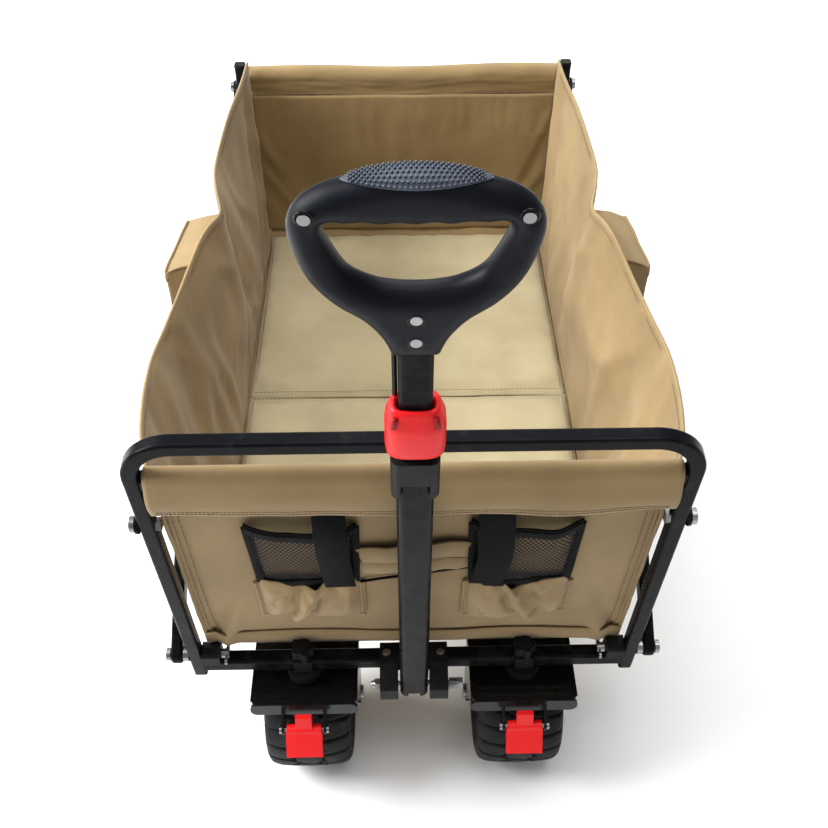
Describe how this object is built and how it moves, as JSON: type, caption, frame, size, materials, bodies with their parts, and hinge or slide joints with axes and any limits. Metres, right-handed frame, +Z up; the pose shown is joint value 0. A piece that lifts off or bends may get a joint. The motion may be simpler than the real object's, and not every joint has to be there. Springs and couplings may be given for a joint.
{
  "type": "collapsible wagon with pull handle",
  "caption": "Folding utility wagon with a fabric tub, telescopic pull handle, braked swivel casters and wide fixed rear wheels.",
  "frame": {"origin": "centre of the footprint on the ground, under the middle of the overall box", "axes": "+Z up, +Y from the pull handle to the rear, +X across"},
  "size_m": [0.604, 1.1012, 0.9676],
  "materials": {
    "black_paint": "satin powder coat",
    "zinc": "zinc plated",
    "black_plastic": "moulded, fine texture",
    "gloss_black": "glossy moulded",
    "red_plastic": "glossy moulded",
    "tan_fabric": "coated oxford weave",
    "mat_fabric": "padded oxford weave",
    "black_mesh": "knitted mesh",
    "tyre": "moulded tread",
    "soft_grip": "soft-touch rubber",
    "board": "fabric-covered fibreboard"
  },
  "bodies": {
    "rear_frame": {"rear_u_frame": "black_paint", "rear_crossbar": "black_paint", "post_caps": "black_plastic", "rear_bolts": "zinc", "axle_brackets": "black_paint", "rear_axles": "zinc", "rear_wall": "tan_fabric", "side_wall_left": "tan_fabric", "side_wall_right": "tan_fabric", "side_pockets": "tan_fabric"},
    "rear_links": {"rear_links": "black_paint"},
    "knuckles": {"knuckles": "black_plastic", "knuckle_bolts": "zinc"},
    "front_links": {"front_links": "black_paint"},
    "front_frame": {"front_u_frame": "black_paint", "front_feet_plugs": "black_plastic", "front_crossbar": "black_paint", "front_rim_bar": "black_paint", "rail_blocks": "black_plastic", "front_bolts": "zinc", "caster_mounts": "black_plastic", "caster_knobs": "black_plastic", "handle_yoke": "black_plastic", "yoke_screws": "zinc", "handle_pivot_bolt": "zinc", "pivot_spring": "zinc", "front_wall": "tan_fabric", "cup_pocket_left": "black_mesh", "cup_pocket_right": "black_mesh", "lower_pockets": "tan_fabric", "front_strap": "tan_fabric"},
    "rear_strips": {"rear_strips": "black_paint"},
    "mid_bar": {"mid_bar": "black_paint", "mid_bar_pins": "zinc"},
    "front_strips": {"front_strips": "black_paint"},
    "floor_rear": {"floor_board_rear": "board", "floor_mat_rear": "mat_fabric"},
    "floor_front": {"floor_board_front": "board", "floor_mat_front": "mat_fabric"},
    "handle": {"handle_tube": "black_paint", "handle_foot": "black_plastic", "handle_clip": "black_plastic"},
    "handle_slider": {"inner_tube": "black_paint", "grip_body": "soft_grip", "grip_screws": "zinc"},
    "release_collar": {"release_collar": "red_plastic"},
    "caster_left": {"caster_fork_left": "gloss_black", "caster_bolts_left": "zinc"},
    "caster_right": {"caster_fork_right": "gloss_black", "caster_bolts_right": "zinc"},
    "brake_left": {"brake_pedal_left": "red_plastic"},
    "brake_right": {"brake_pedal_right": "red_plastic"},
    "wheel_front_left": {"tyre_front_left": "tyre", "rim_front_left": "black_plastic"},
    "wheel_front_right": {"tyre_front_right": "tyre", "rim_front_right": "black_plastic"},
    "wheel_rear_left": {"tyre_rear_left": "tyre", "rim_rear_left": "black_plastic"},
    "wheel_rear_right": {"tyre_rear_right": "tyre", "rim_rear_right": "black_plastic"}
  },
  "joints": [
    {"name": "fold", "type": "hinge", "parent": "rear_frame", "child": "rear_links", "pos_m": [0, 0.459, 0.236], "axis": [-1, 0, 0], "range_deg": [0, 37.5], "deforming": ["side_wall_left", "side_wall_right", "side_pockets"]},
    {"name": "knuckle_turn", "type": "hinge", "parent": "rear_links", "child": "knuckles", "pos_m": [0, 0.019, 0.519], "axis": [-1, 0, 0], "range_deg": [-37.5, 0]},
    {"name": "front_link_turn", "type": "hinge", "parent": "rear_links", "child": "front_links", "pos_m": [0, 0.019, 0.519], "axis": [-1, 0, 0], "range_deg": [-75, 0]},
    {"name": "front_frame_turn", "type": "hinge", "parent": "front_links", "child": "front_frame", "pos_m": [0, -0.421, 0.236], "axis": [-1, 0, 0], "range_deg": [0, 37.5]},
    {"name": "rear_strip_turn", "type": "hinge", "parent": "rear_frame", "child": "rear_strips", "pos_m": [0, 0.459, 0.519], "axis": [-1, 0, 0], "range_deg": [-37.5, 0]},
    {"name": "mid_bar_turn", "type": "hinge", "parent": "rear_strips", "child": "mid_bar", "pos_m": [0, 0.019, 0.236], "axis": [-1, 0, 0], "range_deg": [0, 37.5]},
    {"name": "front_strip_turn", "type": "hinge", "parent": "mid_bar", "child": "front_strips", "pos_m": [0, -0.00875, 0.236], "axis": [-1, 0, 0], "range_deg": [0, 37.5]},
    {"name": "rear_floor_turn", "type": "hinge", "parent": "rear_frame", "child": "floor_rear", "pos_m": [0, 0.427, 0.2325], "axis": [-1, 0, 0], "range_deg": [0, 86.25]},
    {"name": "front_floor_turn", "type": "hinge", "parent": "front_frame", "child": "floor_front", "pos_m": [0, -0.389, 0.2325], "axis": [-1, 0, 0], "range_deg": [-86.25, 0]},
    {"name": "handle_tilt", "type": "hinge", "parent": "front_frame", "child": "handle", "pos_m": [0, -0.447, 0.203], "axis": [1, 0, 0], "range_deg": [0, 80]},
    {"name": "handle_extend", "type": "slide", "parent": "handle", "child": "handle_slider", "axis": [0, -0.1149, 0.9934], "range_m": [0, 0.3]},
    {"name": "collar_pull", "type": "slide", "parent": "handle", "child": "release_collar", "axis": [0, 0.1149, -0.9934], "range_m": [0, 0.008], "stiffness_N_per_m": 600, "springref_m": -0.004},
    {"name": "caster_swivel_left", "type": "hinge", "parent": "front_frame", "child": "caster_left", "pos_m": [-0.134, -0.421, 0.2], "axis": [0, 0, 1], "continuous": true},
    {"name": "brake_press_left", "type": "hinge", "parent": "caster_left", "child": "brake_left", "pos_m": [-0.134, -0.483, 0.162], "axis": [1, 0, 0], "range_deg": [0, 22], "stiffness_Nm_per_rad": 0.3, "springref_deg": -17.19},
    {"name": "wheel_spin_front_left", "type": "hinge", "parent": "caster_left", "child": "wheel_front_left", "pos_m": [-0.134, -0.394, 0.092], "axis": [-1, 0, 0], "continuous": true},
    {"name": "wheel_spin_rear_left", "type": "hinge", "parent": "rear_frame", "child": "wheel_rear_left", "pos_m": [-0.16, 0.459, 0.092], "axis": [-1, 0, 0], "continuous": true},
    {"name": "caster_swivel_right", "type": "hinge", "parent": "front_frame", "child": "caster_right", "pos_m": [0.134, -0.421, 0.2], "axis": [0, 0, 1], "continuous": true},
    {"name": "brake_press_right", "type": "hinge", "parent": "caster_right", "child": "brake_right", "pos_m": [0.134, -0.483, 0.162], "axis": [1, 0, 0], "range_deg": [0, 22], "stiffness_Nm_per_rad": 0.3, "springref_deg": -17.19},
    {"name": "wheel_spin_front_right", "type": "hinge", "parent": "caster_right", "child": "wheel_front_right", "pos_m": [0.134, -0.394, 0.092], "axis": [-1, 0, 0], "continuous": true},
    {"name": "wheel_spin_rear_right", "type": "hinge", "parent": "rear_frame", "child": "wheel_rear_right", "pos_m": [0.16, 0.459, 0.092], "axis": [-1, 0, 0], "continuous": true}
  ],
  "couplings": [
    {"joint": "knuckle_turn", "follows": "fold", "ratio": -1},
    {"joint": "front_link_turn", "follows": "fold", "ratio": -2},
    {"joint": "front_frame_turn", "follows": "fold", "ratio": 1},
    {"joint": "rear_strip_turn", "follows": "fold", "ratio": -1},
    {"joint": "mid_bar_turn", "follows": "fold", "ratio": 1},
    {"joint": "front_strip_turn", "follows": "fold", "ratio": 1},
    {"joint": "rear_floor_turn", "follows": "fold", "ratio": 2.3},
    {"joint": "front_floor_turn", "follows": "fold", "ratio": -2.3}
  ]
}
